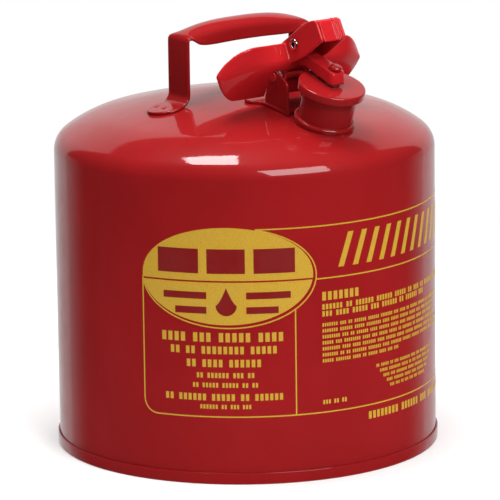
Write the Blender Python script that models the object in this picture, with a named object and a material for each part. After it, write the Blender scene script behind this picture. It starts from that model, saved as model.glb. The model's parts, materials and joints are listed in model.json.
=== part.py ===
"""Type I safety can for 19 litres of fuel: drawn steel can, strap handle and self-closing spout.

Frame: metres, +Z up. The origin is on the can's axis at the floor. The handle runs along X and
the spout leans towards -Y. The trigger bar in front of the handle turns the closure lever about
a pin parallel to X, which lifts the cap off the spout.
"""
import math

import bmesh
import bpy
from mathutils import Matrix, Vector

# Driving dimensions, in metres and degrees.
BODY_RADIUS = 0.15725
BODY_WALL = 0.0010
WALL_TOP = 0.2465
GAP = 0.0003
JOIN = 0.000001

# The crown's outline is four arcs, each given by its radius and by the normal angle it ends at.
SHOULDER_RADIUS, SHOULDER_END = 0.0189, 52.5
HAUNCH_RADIUS, HAUNCH_END = 0.094, 76.0
CROWN_RADIUS, CROWN_END = 0.750, 82.6
CAN_STEPS = 48

CHIME_HEIGHT = 0.0095
CHIME_RADIUS = 0.15875
CHIME_METAL = 0.0012
SEAM_WALL_FOOT = 0.0025
PAN_RECESS = 0.0065

SPOUT_REACH = 0.1050
SPOUT_TILT = 18.0
NECK_RADIUS = 0.0220
NECK_BORE = 0.0205
NECK_HEIGHT = 0.0310
SPOUT_STEPS = 32
COIL_STEPS = 10

CAP_RADIUS = 0.0276
CAP_TOP = 0.0352
CAP_SKIRT = 0.0064
CAP_METAL = 0.0014
RIVET_HOLE = 0.0030

PIVOT = Vector((0.0, -0.065, 0.3150))
PIN_RADIUS = 0.0025
LATCH_PIVOT = Vector((0.0, -0.0835, 0.3436))

WING_SPAN = 0.074
LEVER_METAL = 0.0030
CHEEK_OUTER = 0.0128
CHEEK_INNER = 0.0100
TONGUE_HALF = 0.0070
EAR_INNER = 0.0174
EAR_OUTER = 0.0197
NOTCH_HALF = 0.0209
NOTCH_TOP_HALF = 0.0268
WEB_HALF = 0.0163
LATCH_BORE = 0.0036

HANDLE_OFFSET = 0.00425
HANDLE_WIDTH = 0.0275
HANDLE_METAL = 0.0028
HANDLE_HALF_SPAN = 0.0645
HANDLE_TOP = 0.3565
HANDLE_ARCH = 0.0105
GRIP_DEPTH = 0.0140
FOOT_LENGTH = 0.0315

ARRESTER_RADIUS = 0.0180
ARRESTER_LENGTH = 0.085


# Materials

def painted(name, colour, roughness=0.28, metallic=0.0):
    """A Principled material with one colour, roughness and metallic value."""
    material = bpy.data.materials.new(name)
    material.use_nodes = True
    shader = material.node_tree.nodes["Principled BSDF"]
    shader.inputs["Base Color"].default_value = (*colour, 1.0)
    shader.inputs["Roughness"].default_value = roughness
    shader.inputs["Metallic"].default_value = metallic
    material.diffuse_color = (*colour, 1.0)
    return material


# Outlines

def arc_points(centre, radius, start, end, steps):
    """Points on an arc, as (across, up) pairs, with the angles in degrees."""
    angles = [math.radians(start + (end - start) * i / steps) for i in range(steps + 1)]
    return [(centre[0] + radius * math.cos(a), centre[1] + radius * math.sin(a)) for a in angles]


def arc_end(centre, radius, angle):
    """The point of an arc at one angle."""
    return arc_points(centre, radius, angle, angle, 1)[0]


def next_centre(point, radius, angle):
    """Centre of the arc that leaves a point smoothly, where the outline's normal has this angle."""
    return arc_end(point, -radius, angle)


def crown_arcs():
    """The crown's arcs from the wall to the axis: centre, radius, start, end and steps of each."""
    shoulder = (BODY_RADIUS - SHOULDER_RADIUS, WALL_TOP)
    shoulder_end = arc_end(shoulder, SHOULDER_RADIUS, SHOULDER_END)
    haunch = next_centre(shoulder_end, HAUNCH_RADIUS, SHOULDER_END)
    haunch_end = arc_end(haunch, HAUNCH_RADIUS, HAUNCH_END)
    crown = next_centre(haunch_end, CROWN_RADIUS, HAUNCH_END)
    crown_end = arc_end(crown, CROWN_RADIUS, CROWN_END)
    apex_radius = crown_end[0] / math.cos(math.radians(CROWN_END))
    apex = next_centre(crown_end, apex_radius, CROWN_END)
    return [
        (shoulder, SHOULDER_RADIUS, 0.0, SHOULDER_END, 4),
        (haunch, HAUNCH_RADIUS, SHOULDER_END, HAUNCH_END, 3),
        (crown, CROWN_RADIUS, HAUNCH_END, CROWN_END, 3),
        (apex, apex_radius, CROWN_END, 90.0, 1),
    ]


def crown_profile(offset=0.0):
    """The crown's outline from the wall's top to the axis, moved outward by the offset."""
    points = []
    for centre, radius, start, end, steps in crown_arcs():
        arc = arc_points(centre, radius + offset, start, end, steps)
        points += arc if not points else arc[1:]
    points[-1] = (0.0, points[-1][1])
    return points


def crown_height(radius):
    """Height of the crown's outside above the floor at a distance from the can's axis."""
    profile = crown_profile()
    for (r_out, z_out), (r_in, z_in) in zip(profile, profile[1:]):
        if r_in <= radius <= r_out:
            return z_in + (z_out - z_in) * (radius - r_in) / (r_out - r_in)
    return WALL_TOP


# Solids

def add_object(name, bm, material=None, frame=None):
    """Close a bmesh into a named object, with its faces pointing out."""
    bmesh.ops.remove_doubles(bm, verts=bm.verts, dist=JOIN)
    bmesh.ops.recalc_face_normals(bm, faces=bm.faces)
    mesh = bpy.data.meshes.new(name)
    bm.to_mesh(mesh)
    bm.free()
    mesh.shade_smooth()
    mesh.set_sharp_from_angle(angle=math.radians(35))
    obj = bpy.data.objects.new(name, mesh)
    bpy.context.scene.collection.objects.link(obj)
    if frame is not None:
        obj.matrix_world = frame
    if material is not None:
        mesh.materials.append(material)
    return obj


def lathe(name, profile, steps, material=None, frame=None):
    """Turn an outline of (radius, height) pairs about Z; an outline off the axis is closed."""
    bm = bmesh.new()
    verts = [bm.verts.new((radius, 0.0, height)) for radius, height in profile]
    edges = [bm.edges.new(pair) for pair in zip(verts, verts[1:])]
    if profile[0][0] > JOIN:
        edges.append(bm.edges.new((verts[-1], verts[0])))
    bmesh.ops.spin(
        bm, geom=verts + edges, cent=(0, 0, 0), axis=(0, 0, 1),
        angle=2 * math.pi, steps=steps, use_merge=True)
    return add_object(name, bm, material, frame)


def plate(name, outline, start, end, material=None, frame=None):
    """Extrude an outline of (a, b) pairs from one height to another."""
    bm = bmesh.new()
    face = bm.faces.new([bm.verts.new((a, b, start)) for a, b in outline])
    grown = bmesh.ops.extrude_face_region(bm, geom=[face])
    moved = [item for item in grown["geom"] if isinstance(item, bmesh.types.BMVert)]
    bmesh.ops.translate(bm, verts=moved, vec=(0, 0, end - start))
    return add_object(name, bm, material, frame)


def side_plate(name, outline, start, end, material=None):
    """Extrude an outline of (y, z) pairs along X, from one x to another."""
    turn = Matrix(((0, 0, 1, 0), (1, 0, 0, 0), (0, 1, 0, 0), (0, 0, 0, 1)))
    return plate(name, outline, start, end, material, turn)


def skin_rings(name, rings, material=None):
    """Bridge equal rings of points into one solid, with a face on each end."""
    bm = bmesh.new()
    loops = [[bm.verts.new(point) for point in ring] for ring in rings]
    for first, second in zip(loops, loops[1:]):
        for i in range(len(first)):
            j = (i + 1) % len(first)
            bm.faces.new((first[i], first[j], second[j], second[i]))
    bm.faces.new(loops[0])
    bm.faces.new(loops[-1])
    bmesh.ops.triangulate(bm, faces=bm.faces)
    return add_object(name, bm, material)


def wire(name, path, radius, sides, material):
    """A round wire along a path."""
    points = [Vector(point) for point in path]
    rings = []
    for i, point in enumerate(points):
        ahead = points[min(i + 1, len(points) - 1)]
        behind = points[max(i - 1, 0)]
        along = (ahead - behind).normalized()
        side = along.cross(Vector((1.0, 0.0, 0.35))).normalized()
        rise = along.cross(side)
        angles = [2 * math.pi * k / sides for k in range(sides)]
        rings.append([point + radius * (math.cos(a) * side + math.sin(a) * rise) for a in angles])
    return skin_rings(name, rings, material)


def rod_frame(point, axis):
    """A frame at a point, with its Z along an axis."""
    turn = Vector((0, 0, 1)).rotation_difference(Vector(axis)).to_matrix().to_4x4()
    return Matrix.Translation(point) @ turn


def combine(obj, tool, operation):
    """Join, cut or trim an object with a tool that is left out of the model."""
    modifier = obj.modifiers.new(tool.name, "BOOLEAN")
    modifier.operation = operation
    modifier.solver = "EXACT"
    modifier.object = tool
    tool.hide_render = True
    tool.display_type = "WIRE"


def pivot_at(name, frame, pieces):
    """Hang pieces on an empty on their joint's axis, and put their origins there."""
    empty = bpy.data.objects.new(name, None)
    bpy.context.scene.collection.objects.link(empty)
    empty.matrix_world = frame
    for piece in pieces:
        piece.data.transform(frame.inverted() @ piece.matrix_world)
        piece.matrix_world = Matrix.Identity(4)
        piece.parent = empty
    return empty


def under_crown(name, offset):
    """A cutter that holds everything below the crown moved outward by the offset."""
    return lathe(name, [(BODY_RADIUS, 0.2)] + crown_profile(offset) + [(0.0, 0.2)], CAN_STEPS)


def spout_frame():
    """Frame at the spout's foot on the crown, with Z along the spout."""
    foot = Vector((0.0, -SPOUT_REACH, crown_height(SPOUT_REACH)))
    return Matrix.Translation(foot) @ Matrix.Rotation(math.radians(SPOUT_TILT), 4, "X")


# The can

def build_can(red, steel):
    """The drawn shell, the recessed bottom and the rolled chime that seams them."""
    outer = [(BODY_RADIUS, SEAM_WALL_FOOT)] + crown_profile()
    inner = crown_profile(-BODY_WALL)[::-1] + [(BODY_RADIUS - BODY_WALL, SEAM_WALL_FOOT)]
    body = lathe("can_body", outer[::-1] + inner[::-1], CAN_STEPS, red)
    hole = lathe(
        "cut_spout_hole",
        [(0.0, -0.02), (NECK_RADIUS + GAP, -0.02), (NECK_RADIUS + GAP, 0.02), (0.0, 0.02)],
        SPOUT_STEPS, frame=spout_frame())
    combine(body, hole, "DIFFERENCE")

    flange_outer = BODY_RADIUS - BODY_WALL - GAP
    flange_inner = flange_outer - BODY_WALL
    pan_top = PAN_RECESS
    pan = [
        (flange_outer, SEAM_WALL_FOOT),
        (flange_outer, pan_top + 0.004),
        (flange_outer - 0.002, pan_top + 0.006),
        (0.130, pan_top + 0.005),
        (0.0, pan_top + 0.009),
        (0.0, pan_top + 0.009 - BODY_WALL),
        (0.130, pan_top + 0.005 - BODY_WALL),
        (flange_inner - 0.0015, pan_top + 0.005 - BODY_WALL),
        (flange_inner, pan_top + 0.003),
        (flange_inner, SEAM_WALL_FOOT),
    ]
    lathe("bottom_pan", pan[4::-1] + pan[:4:-1], CAN_STEPS, steel)

    outer_leg = BODY_RADIUS + GAP
    inner_leg = flange_inner - GAP
    foot = SEAM_WALL_FOOT - GAP
    chime = [
        (outer_leg, foot),
        (outer_leg, CHIME_HEIGHT),
        (CHIME_RADIUS - 0.0004, CHIME_HEIGHT),
        (CHIME_RADIUS, CHIME_HEIGHT - 0.0008),
        (CHIME_RADIUS, 0.0012),
        (CHIME_RADIUS - 0.0010, 0.0),
        (inner_leg - CHIME_METAL + 0.0010, 0.0),
        (inner_leg - CHIME_METAL, 0.0012),
        (inner_leg - CHIME_METAL, CHIME_HEIGHT - 0.002),
        (inner_leg, CHIME_HEIGHT - 0.002),
        (inner_leg, foot),
    ]
    lathe("bottom_chime", chime, CAN_STEPS, red)


# The spout

def build_spout(red, steel, brass):
    """The neck with its rolled bead, and the flame arrester that hangs inside it."""
    frame = spout_frame()
    neck = [
        (NECK_BORE, -0.004),
        (NECK_RADIUS, -0.004),
        (NECK_RADIUS, NECK_HEIGHT - 0.0008),
        (NECK_RADIUS - 0.0004, NECK_HEIGHT),
        (NECK_BORE + 0.0004, NECK_HEIGHT),
        (NECK_BORE, NECK_HEIGHT - 0.0006),
    ]
    lathe("spout_neck", neck, SPOUT_STEPS, red, frame)

    bead_radius = 0.0021
    bead_centre = (NECK_RADIUS + GAP + 0.0008, 0.0035)
    bead = [(NECK_RADIUS + GAP, -0.008)]
    bead += [(NECK_RADIUS + 0.0022, -0.008)]
    bead += arc_points(bead_centre, bead_radius, -40, 110, 6)
    bead += [(NECK_RADIUS + GAP, 0.0055)]
    collar = lathe("neck_collar", bead, SPOUT_STEPS, red, frame)
    combine(collar, under_crown("cut_collar_seat", GAP), "DIFFERENCE")

    flange_seat = NECK_HEIGHT - 0.0065
    flange_radius = NECK_BORE - GAP
    lathe("arrester_flange", [
        (ARRESTER_RADIUS + GAP, flange_seat - 0.0045),
        (ARRESTER_RADIUS + GAP + 0.0010, flange_seat - 0.0045),
        (ARRESTER_RADIUS + GAP + 0.0010, flange_seat),
        (flange_radius, flange_seat),
        (flange_radius, flange_seat + 0.0012),
        (ARRESTER_RADIUS + GAP, flange_seat + 0.0012),
    ], 32, brass, frame)
    screen_foot = flange_seat - ARRESTER_LENGTH
    lathe("arrester_screen", [
        (ARRESTER_RADIUS - 0.0012, screen_foot),
        (ARRESTER_RADIUS, screen_foot),
        (ARRESTER_RADIUS, flange_seat + 0.0010),
        (ARRESTER_RADIUS - 0.0012, flange_seat + 0.0010),
    ], 32, steel, frame)
    lathe("arrester_end_cap", [
        (0.0, screen_foot - GAP - 0.0010),
        (ARRESTER_RADIUS + GAP + 0.0006, screen_foot - GAP - 0.0010),
        (ARRESTER_RADIUS + GAP + 0.0010, screen_foot - GAP - 0.0006),
        (ARRESTER_RADIUS + GAP + 0.0010, screen_foot + 0.0050),
        (ARRESTER_RADIUS + GAP, screen_foot + 0.0050),
        (ARRESTER_RADIUS + GAP, screen_foot - GAP),
        (0.0, screen_foot - GAP),
    ], 32, brass, frame)
    ring_foot = flange_seat + 0.0012 + GAP
    lathe("arrester_retaining_ring", [
        (ARRESTER_RADIUS - 0.0010, ring_foot),
        (flange_radius, ring_foot),
        (flange_radius, ring_foot + 0.0014),
        (ARRESTER_RADIUS - 0.0010, ring_foot + 0.0014),
    ], 32, steel, frame)


def build_cap(red, rubber, steel):
    """The lid, its gasket, the retainer, the washer and the rivet that holds them to the tongue."""
    frame = spout_frame()
    inside = CAP_TOP - CAP_METAL
    skirt_foot = CAP_TOP - CAP_SKIRT
    bore = CAP_RADIUS - CAP_METAL
    cap = lathe("spout_cap", [
        (RIVET_HOLE, CAP_TOP - CAP_METAL),
        (bore - 0.0012, inside),
        (bore, inside - 0.0012),
        (bore, skirt_foot),
        (CAP_RADIUS, skirt_foot),
        (CAP_RADIUS, CAP_TOP - 0.0024),
        (CAP_RADIUS - 0.0007, CAP_TOP - 0.0007),
        (CAP_RADIUS - 0.0024, CAP_TOP),
        (RIVET_HOLE, CAP_TOP),
    ], SPOUT_STEPS, red, frame)
    gasket_top = inside - GAP
    gasket_foot = NECK_HEIGHT + GAP
    gasket = lathe("cap_gasket", [
        (0.0120, gasket_foot),
        (bore - 0.0016, gasket_foot),
        (bore - 0.0016, gasket_top),
        (0.0120, gasket_top),
    ], SPOUT_STEPS, rubber, frame)
    retainer = lathe("gasket_retainer", [
        (RIVET_HOLE, gasket_top - 0.0010),
        (0.0100, gasket_top - 0.0010),
        (0.0112, gasket_foot - GAP),
        (0.0160, gasket_foot - GAP),
        (0.0160, gasket_foot - GAP - 0.0010),
        (0.0104, gasket_foot - GAP - 0.0010),
        (0.0092, gasket_top - 0.0020),
        (RIVET_HOLE, gasket_top - 0.0020),
    ], 28, steel, frame)
    washer = lathe("cap_washer", [
        (RIVET_HOLE, CAP_TOP + GAP),
        (0.0062, CAP_TOP + GAP),
        (0.0062, CAP_TOP + GAP + 0.0008),
        (RIVET_HOLE, CAP_TOP + GAP + 0.0008),
    ], 24, steel, frame)
    shank = RIVET_HOLE - GAP
    tail = gasket_top - 0.0020 - GAP
    head = CAP_TOP + 0.0135
    rivet = lathe("cap_rivet", [
        (0.0, tail - 0.0016),
        (0.0042, tail - 0.0016),
        (0.0048, tail),
        (shank, tail),
        (shank, head),
        (0.0053, head),
        (0.0053, head + 0.0014),
        (0.0042, head + 0.0028),
        (0.0022, head + 0.0034),
        (0.0, head + 0.0034),
    ], 20, red, frame)
    return [cap, gasket, retainer], [washer, rivet]


# The closure lever

def blend(start, end, share):
    """A value between two others."""
    return start + (end - start) * share


def wing_section(x):
    """The trigger bar's outer outline at one x, from its top edge over the crest to its foot."""
    reach = abs(x) / WING_SPAN
    top_share = max(0.0, (abs(x) - 0.040) / (WING_SPAN - 0.040))
    foot_share = max(0.0, (abs(x) - 0.050) / (WING_SPAN - 0.050))
    turn_in = max(0.0, (abs(x) - 0.048) / (WING_SPAN - 0.048))
    rim = blend(-0.0715, -0.0740, min(1.0, abs(x) / 0.048))
    top = Vector((blend(rim, -0.0600, turn_in ** 1.4), blend(0.3437, 0.3226, top_share ** 2.55)))
    crest = Vector((blend(-0.0800, -0.0626, reach ** 2.6),
                    blend(0.3285, 0.3209, reach ** 1.3)))
    foot = Vector((blend(-0.0540, -0.0615, foot_share ** 1.3),
                   blend(0.2975, 0.3193, foot_share ** 1.8)))
    into = crest.lerp(top, 0.30)
    out = crest.lerp(foot, 0.22)
    turn = [into.lerp(crest, t).lerp(crest.lerp(out, t), t) for t in (0.33, 0.67)]
    return [top, top.lerp(into, 0.5), into] + turn + [out, out.lerp(foot, 0.5), foot]


def inset_outline(points, depth):
    """Move an outline to its left, towards the hollow side of the trigger bar."""
    moved = []
    for i, point in enumerate(points):
        ahead = points[min(i + 1, len(points) - 1)]
        behind = points[max(i - 1, 0)]
        along = (ahead - behind).normalized()
        moved.append(point + depth * Vector((-along.y, along.x)))
    return moved


def build_trigger_bar():
    """The C-shaped bar with its two wings, notched in the middle to clear the bracket."""
    half = [0.0125, 0.021, 0.029, 0.037, 0.044, 0.050, 0.056, 0.062, 0.067, 0.071, 0.074]
    stations = [-x for x in reversed(half)] + [0.0] + half
    rings = []
    for x in stations:
        outer = wing_section(x)
        inner = inset_outline(outer, LEVER_METAL)
        rings.append([Vector((x, p.x, p.y)) for p in outer + inner[::-1]])
    return skin_rings("closure_lever", rings)


def cheek_outline():
    """Side view of a cheek: the lug round the pin, the back, the long top and the blunt front."""
    return arc_points((PIVOT.y, PIVOT.z), 0.0060, 160, 380, 7) + [
        (-0.0590, 0.3280), (-0.0650, 0.3418), (-0.0770, 0.3496), (-0.0913, 0.3592),
        (-0.1016, 0.3646), (-0.1082, 0.3660), (-0.1116, 0.3648), (-0.1155, 0.3578),
        (-0.1188, 0.3514), (-0.1180, 0.3499), (-0.1140, 0.3475), (-0.1050, 0.3410),
        (-0.0947, 0.3340), (-0.0779, 0.3268),
    ]


def build_lever(red):
    """One casting: trigger bar, two cheeks with lugs, and the tongue that carries the cap."""
    lever = build_trigger_bar()
    lever.data.materials.append(red)
    upright = Matrix(((1, 0, 0, 0), (0, 0, -1, 0), (0, 1, 0, 0), (0, 0, 0, 1)))
    notch = plate("cut_lever_notch", [
        (-NOTCH_HALF, 0.2800), (-NOTCH_HALF, 0.2985), (-NOTCH_TOP_HALF, 0.3180),
        (-NOTCH_TOP_HALF, 0.3215), (NOTCH_TOP_HALF, 0.3215), (NOTCH_TOP_HALF, 0.3180),
        (NOTCH_HALF, 0.2985), (NOTCH_HALF, 0.2800),
    ], 0.040, 0.100, frame=upright)
    combine(lever, notch, "DIFFERENCE")
    for side, name in ((-1, "left"), (1, "right")):
        ends = sorted((side * CHEEK_INNER, side * CHEEK_OUTER))
        cheek = side_plate("join_cheek_" + name, cheek_outline(), *ends)
        combine(lever, cheek, "UNION")
    web = side_plate("join_middle_web", [
        (-0.0640, 0.3395), (-0.0597, 0.3180), (-0.0572, 0.2985), (-0.0540, 0.2980),
        (-0.0560, 0.3150), (-0.0592, 0.3340), (-0.0610, 0.3395),
    ], -WEB_HALF, WEB_HALF)
    combine(lever, web, "UNION")
    tongue = side_plate("join_tongue", [
        (-0.0690, 0.3405), (-0.0690, 0.3245), (-0.0800, 0.3262), (-0.0900, 0.3258),
        (-0.1232, 0.3138), (-0.1246, 0.3148), (-0.1246, 0.3232), (-0.1230, 0.3250),
        (-0.0984, 0.3330), (-0.0850, 0.3360), (-0.0740, 0.3420),
    ], -TONGUE_HALF, TONGUE_HALF)
    nose = plate("trim_tongue_nose", [
        (-0.0050, -0.1250), (0.0050, -0.1250), (0.0082, -0.1200), (0.0082, -0.0500),
        (-0.0082, -0.0500), (-0.0082, -0.1200),
    ], 0.300, 0.350)
    combine(tongue, nose, "INTERSECT")
    combine(lever, tongue, "UNION")
    pin_hole = lathe("cut_lug_bore", rod_outline(PIN_RADIUS + GAP, 0.016), 20,
                     frame=rod_frame(PIVOT, (1, 0, 0)))
    combine(lever, pin_hole, "DIFFERENCE")
    latch_hole = lathe("cut_latch_bore", rod_outline(LATCH_BORE + GAP, 0.016), 20,
                       frame=rod_frame(LATCH_PIVOT, (1, 0, 0)))
    combine(lever, latch_hole, "DIFFERENCE")
    rivet_hole = lathe("cut_rivet_bore", rod_outline(RIVET_HOLE, 0.06), 20, frame=spout_frame())
    combine(lever, rivet_hole, "DIFFERENCE")

    head = EAR_OUTER + GAP
    lathe("lever_pivot_pin", [
        (0.0, -head - 0.0010), (0.0032, -head - 0.0010), (0.0042, -head - 0.0005),
        (0.0042, -head), (PIN_RADIUS, -head), (PIN_RADIUS, head),
        (0.0042, head), (0.0042, head + 0.0005), (0.0032, head + 0.0010),
        (0.0, head + 0.0010),
    ], 20, red, rod_frame(PIVOT, (1, 0, 0)))
    return lever


def rod_outline(radius, half_length):
    """Outline of a plain rod on its axis, for a bore."""
    return [(0.0, -half_length), (radius, -half_length), (radius, half_length), (0.0, half_length)]


def coil_path(centre, radius, start_x, end_x, turns, start, legs):
    """Centre line of a torsion spring along X, with a straight leg at each end."""
    steps = round(turns * COIL_STEPS)
    path = []
    for i in range(steps + 1):
        angle = start + 2 * math.pi * i / COIL_STEPS
        x = blend(start_x, end_x, i / steps)
        path.append(centre + Vector((x, radius * math.cos(angle), radius * math.sin(angle))))
    end = start + 2 * math.pi * turns
    start_tangent = Vector((0.0, -math.sin(start), math.cos(start)))
    end_tangent = Vector((0.0, -math.sin(end), math.cos(end)))
    return [path[0] - legs * start_tangent] + path + [path[-1] + legs * end_tangent]


def build_springs(steel):
    """The two closing springs between lugs and ears, and the small spring of the latch."""
    wire_radius = 0.0006
    near = CHEEK_OUTER + wire_radius + GAP
    far = EAR_INNER - wire_radius - GAP
    for side, name in ((-1, "left"), (1, "right")):
        path = coil_path(PIVOT, 0.0042, side * near, side * far, 2.5, math.radians(240), 0.005)
        wire("torsion_spring_" + name, path, wire_radius, 5, steel)
    path = coil_path(LATCH_PIVOT, 0.0050, -0.0021, 0.0021, 3, math.radians(200), 0.002)
    return wire("latch_spring", path, 0.0005, 5, steel)


def build_latch(red, steel):
    """The ribbed hold-open latch between the cheeks, and the tubular rivet it turns on."""
    width = CHEEK_INNER - 2 * GAP
    latch = side_plate("hold_open_latch", [
        (-0.1080, 0.3662), (-0.1114, 0.3650), (-0.1178, 0.3524), (-0.1190, 0.3500),
        (-0.1174, 0.3490), (-0.1150, 0.3512), (-0.1102, 0.3600), (-0.0961, 0.3505),
        (-0.0849, 0.3396), (-0.0819, 0.3390), (-0.0796, 0.3411), (-0.0793, 0.3451),
        (-0.0821, 0.3485), (-0.0911, 0.3550), (-0.1021, 0.3640),
    ], -width, width)
    latch.data.materials.append(red)
    slot = side_plate("cut_latch_slot", [
        (-0.0915, 0.335), (-0.073, 0.335), (-0.073, 0.353), (-0.0915, 0.353),
    ], -0.0050, 0.0050)
    combine(latch, slot, "DIFFERENCE")
    bore = lathe("cut_latch_boss", rod_outline(LATCH_BORE + GAP, 0.03), 20,
                 frame=rod_frame(LATCH_PIVOT, (1, 0, 0)))
    combine(latch, bore, "DIFFERENCE")
    for name, x in (("inner", 0.0046), ("outer", 0.0084)):
        rib = side_plate("join_rib_" + name, [
            (-0.1085, 0.3650), (-0.1090, 0.3670), (-0.1122, 0.3660), (-0.1199, 0.3508),
            (-0.1188, 0.3494), (-0.1160, 0.3520), (-0.1110, 0.3630),
        ], x - 0.0010, x + 0.0010)
        combine(latch, rib, "UNION")
    reach = CHEEK_OUTER + GAP
    rivet = lathe("latch_rivet", [
        (0.0024, -reach - 0.0012), (0.0044, -reach - 0.0012), (0.0050, -reach),
        (LATCH_BORE, -reach), (LATCH_BORE, reach), (0.0050, reach),
        (0.0044, reach + 0.0012), (0.0024, reach + 0.0012),
    ], 24, steel, rod_frame(LATCH_PIVOT, (1, 0, 0)))
    return latch, rivet


# The bracket

def ear_outline():
    """Side view of a bracket ear, from the dome to its round top."""
    top = arc_points((PIVOT.y, PIVOT.z), 0.0062, 0, 123, 6)
    return [(-0.0835, 0.2790), (-0.0530, 0.2790), (-0.0535, 0.2990)] + top + [
        (-0.0815, 0.3118), (-0.0822, 0.3100), (-0.0822, 0.3030)]


def build_bracket(red):
    """The plate that follows the dome, with two ears bent up from it."""
    plate_metal = 0.0023
    outline = [
        (-0.0200, -0.0803), (0.0200, -0.0803), (0.0215, -0.0500), (0.0285, -0.0440),
        (0.0285, -0.0360), (-0.0285, -0.0360), (-0.0285, -0.0440), (-0.0215, -0.0500),
    ]
    bracket = plate("hinge_bracket", outline, 0.270, 0.310, red)
    skin = lathe(
        "trim_bracket_skin",
        [(0.0, 0.200), (0.125, 0.200)] + crown_profile(GAP + plate_metal)[7:], CAN_STEPS)
    combine(bracket, skin, "INTERSECT")
    for side, name in ((-1, "left"), (1, "right")):
        ends = sorted((side * EAR_INNER, side * EAR_OUTER))
        ear = side_plate("join_ear_" + name, ear_outline(), *ends)
        combine(bracket, ear, "UNION")
    combine(bracket, under_crown("cut_bracket_seat", GAP), "DIFFERENCE")
    bore = lathe("cut_ear_bore", rod_outline(PIN_RADIUS + GAP, 0.05), 20,
                 frame=rod_frame(PIVOT, (1, 0, 0)))
    combine(bracket, bore, "DIFFERENCE")
    return bracket


# The handle

def grip_height(x):
    """Height of the grip's top, gently arched along its length."""
    return HANDLE_TOP - HANDLE_ARCH * abs(x / HANDLE_HALF_SPAN) ** 2.8


def handle_path():
    """The strap's outer line from the left foot's tip to the middle, with its way out and depth."""
    corner = 0.007
    leg_x = -HANDLE_HALF_SPAN
    foot_tip = leg_x - FOOT_LENGTH
    seat = HANDLE_METAL + 0.0004
    toe_z = crown_height(math.hypot(foot_tip, HANDLE_OFFSET)) + seat
    heel_z = crown_height(math.hypot(leg_x, HANDLE_OFFSET)) + seat
    slope = math.atan2(heel_z - toe_z, FOOT_LENGTH)
    path = []
    toe = HANDLE_WIDTH / 2
    for angle in (8, 25, 45, 67, 90):
        ahead = toe * (1 - math.cos(math.radians(angle)))
        share = ahead / FOOT_LENGTH
        point = (foot_tip + ahead, blend(toe_z, heel_z, share))
        path.append((point, math.pi / 2 + slope, 0.0, math.sin(math.radians(angle))))
    bend_centre = (leg_x - 0.006, heel_z + 0.006)
    for share in (0.0, 0.25, 0.5, 0.75, 1.0):
        angle = blend(-math.pi / 2 + slope, 0.0, share)
        point = (bend_centre[0] + 0.006 * math.cos(angle), bend_centre[1] + 0.006 * math.sin(angle))
        path.append((point, angle + math.pi, 0.0, 1.0))
    path.append(((leg_x, 0.315), math.pi, 0.0, 1.0))
    corner_centre = (leg_x + corner, grip_height(leg_x) - 0.005)
    for share in (0.0, 0.25, 0.5, 0.75, 1.0):
        angle = blend(math.pi, math.radians(108), share)
        point = (corner_centre[0] + corner * math.cos(angle),
                 corner_centre[1] + corner * math.sin(angle))
        path.append((point, angle, 0.0, 1.0))
    for x in (-0.0565, -0.0525, -0.047, -0.040, -0.032, -0.022, -0.011, 0.0):
        share = 1 - (abs(x) / 0.062) ** 4
        path.append(((x, grip_height(x)), math.pi / 2, share, 1.0))
    return path


def strap_ring(point, angle, grip_share, width_share):
    """Cross-section of the strap, with its edges rolled down by a share of the grip's depth."""
    out = Vector((math.cos(angle), 0.0, math.sin(angle)))
    across = Vector((0.0, 1.0, 0.0))
    centre = Vector((point[0], HANDLE_OFFSET, point[1]))
    half = HANDLE_WIDTH / 2 * width_share
    depth = blend(HANDLE_METAL, GRIP_DEPTH, grip_share)
    round_off = blend(0.0008, 0.0095, grip_share)
    outer = [(-half, -depth), (-half, -round_off)]
    outer += [(-half + round_off * (1 - math.cos(a)), -round_off * (1 - math.sin(a)))
              for a in (math.radians(30), math.radians(60))]
    outer += [(-half + round_off, 0.0)]
    inner_half = half - HANDLE_METAL * grip_share
    inner_round = max(0.0004, round_off - HANDLE_METAL)
    inner = [(-inner_half, -depth), (-inner_half, -HANDLE_METAL - inner_round * grip_share)]
    inner += [(-inner_half + inner_round, -HANDLE_METAL)]
    outline = outer + [(-a, b) for a, b in reversed(outer)]
    outline += [(-a, b) for a, b in inner] + inner[::-1]
    return [centre + a * across + b * out for a, b in outline]


def build_handle(red):
    """One strap: two feet on the dome, two legs and the grip with its edges rolled down."""
    half = handle_path()
    rings = [strap_ring(*station) for station in half]
    mirrored = [[Vector((-p.x, p.y, p.z)) for p in ring] for ring in rings[-2::-1]]
    handle = skin_rings("carry_handle", rings + mirrored, red)
    combine(handle, under_crown("cut_handle_seat", GAP), "DIFFERENCE")
    return handle


def clear_scene():
    """Remove every object."""
    for obj in list(bpy.data.objects):
        bpy.data.objects.remove(obj, do_unlink=True)


def main():
    clear_scene()
    red = painted("red_enamel", (0.46, 0.012, 0.014), 0.22)
    steel = painted("bright_steel", (0.62, 0.62, 0.60), 0.30, 1.0)
    brass = painted("arrester_brass", (0.72, 0.52, 0.22), 0.35, 1.0)
    rubber = painted("gasket_rubber", (0.02, 0.02, 0.02), 0.70)

    build_can(red, steel)
    build_spout(red, steel, brass)
    build_bracket(red)
    build_handle(red)
    cap_pieces, cap_fixings = build_cap(red, rubber, steel)
    lever = build_lever(red)
    latch_spring = build_springs(steel)
    latch, latch_rivet = build_latch(red, steel)

    pivot_at("lever_axis", Matrix.Translation(PIVOT), [lever, latch_rivet, latch_spring] + cap_fixings)
    pivot_at("latch_axis", Matrix.Translation(LATCH_PIVOT), [latch])
    pivot_at("cap_axis", spout_frame(), cap_pieces)


main()
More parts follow.
